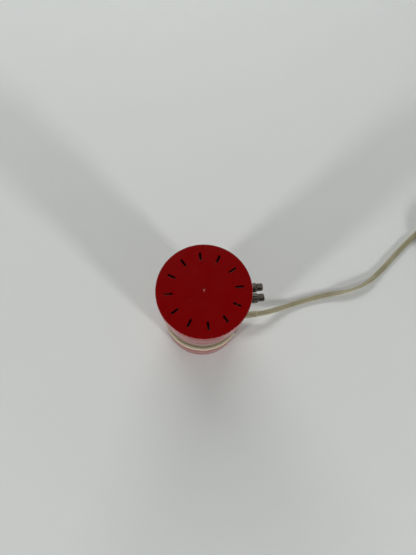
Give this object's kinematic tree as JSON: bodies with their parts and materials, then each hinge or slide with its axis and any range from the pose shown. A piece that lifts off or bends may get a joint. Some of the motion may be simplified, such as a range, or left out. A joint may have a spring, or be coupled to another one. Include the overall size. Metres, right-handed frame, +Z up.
{
  "type": "table metronome",
  "caption": "Mains-powered electronic table metronome: an upright drum with a slotted sound cap, a wrap-around light window over a cream ring, two fluted knobs on its rear spine and a mains lead.",
  "frame": {"origin": "centre of the underside of the base pad, on the surface that the metronome stands on", "axes": "+Z up along the drum's axis, +Y towards the rear spine with the two knobs and the mains lead, -Y towards the middle of the window"},
  "size_m": [0.1421, 0.4007, 0.14],
  "materials": {
    "red_plastic": "glossy moulded red plastic",
    "cream_plastic": "cream moulded plastic, satin gloss",
    "lens_plastic": "translucent deep red plastic, glossy",
    "cord_vinyl": "beige flexible vinyl, semi-matt",
    "chrome": "polished chrome plate",
    "steel": "zinc-plated steel",
    "brass": "plain brass",
    "nickel": "nickel plate",
    "black_plastic": "black moulded plastic, satin",
    "white_plastic": "white moulded plastic, satin",
    "pad_rubber": "black rubber, matt",
    "speaker_paper": "dark grey pressed paper",
    "speaker_fabric": "black woven speaker cloth",
    "board": "green varnished laminate with copper tracks",
    "winding": "amber tape over copper wire",
    "lamp_glass": "frosted glass",
    "fuse_glass": "clear glass with metal ends"
  },
  "bodies": {
    "root": {"top_cap": "red_plastic", "upper_housing": "red_plastic", "lower_housing": "red_plastic", "window_ring": "cream_plastic", "window_lens": "lens_plastic", "strain_relief": "cord_vinyl", "mains_cord": "cord_vinyl", "cord_coil": "cord_vinyl", "cord_tail": "cord_vinyl", "mains_wire": "cord_vinyl", "plug_body": "cord_vinyl", "tempo_nut": "nickel", "volume_nut": "nickel", "plug_pin_1": "nickel", "plug_pin_2": "nickel", "speaker_frame": "steel", "speaker_magnet": "steel", "transformer_core": "steel", "transformer_strap": "steel", "tempo_control": "steel", "volume_control": "steel", "base_screw_1": "steel", "base_screw_2": "steel", "base_screw_3": "steel", "board_screw_1": "steel", "board_screw_2": "steel", "board_screw_3": "steel", "speaker_screw_1": "steel", "speaker_screw_2": "steel", "speaker_screw_3": "steel", "bulb_cap": "brass", "base_plate": "black_plastic", "lamp_socket": "black_plastic", "capacitor_main": "black_plastic", "capacitor_timing": "black_plastic", "output_transistor": "black_plastic", "oscillator_chip": "black_plastic", "fuse_holder": "black_plastic", "cord_clamp": "black_plastic", "cord_tie": "black_plastic", "lamp_wire": "black_plastic", "speaker_wire": "black_plastic", "control_wire": "black_plastic", "lower_reflector": "white_plastic", "upper_reflector": "white_plastic", "terminal_block": "white_plastic", "base_pad": "pad_rubber", "speaker_cloth": "speaker_fabric", "circuit_board": "board", "transformer_winding": "winding", "bulb_glass": "lamp_glass", "fuse": "fuse_glass"},
    "tempo": {"tempo_knob": "chrome", "tempo_shaft": "steel"},
    "volume": {"volume_knob": "chrome", "volume_shaft": "steel"},
    "cone": {"speaker_cone": "speaker_paper"}
  },
  "joints": [
    {"name": "tempo_turn", "type": "hinge", "parent": "root", "child": "tempo", "pos_m": [-0.0048, 0.048, 0.11], "axis": [0, 1, 0], "range_deg": [-150, 150]},
    {"name": "volume_turn", "type": "hinge", "parent": "root", "child": "volume", "pos_m": [0.0048, 0.048, 0.11], "axis": [0, 1, 0], "range_deg": [-150, 150]},
    {"name": "cone_stroke", "type": "slide", "parent": "root", "child": "cone", "axis": [0, 0, 1], "range_m": [-0.0006, 0.0006], "stiffness_N_per_m": 300}
  ]
}
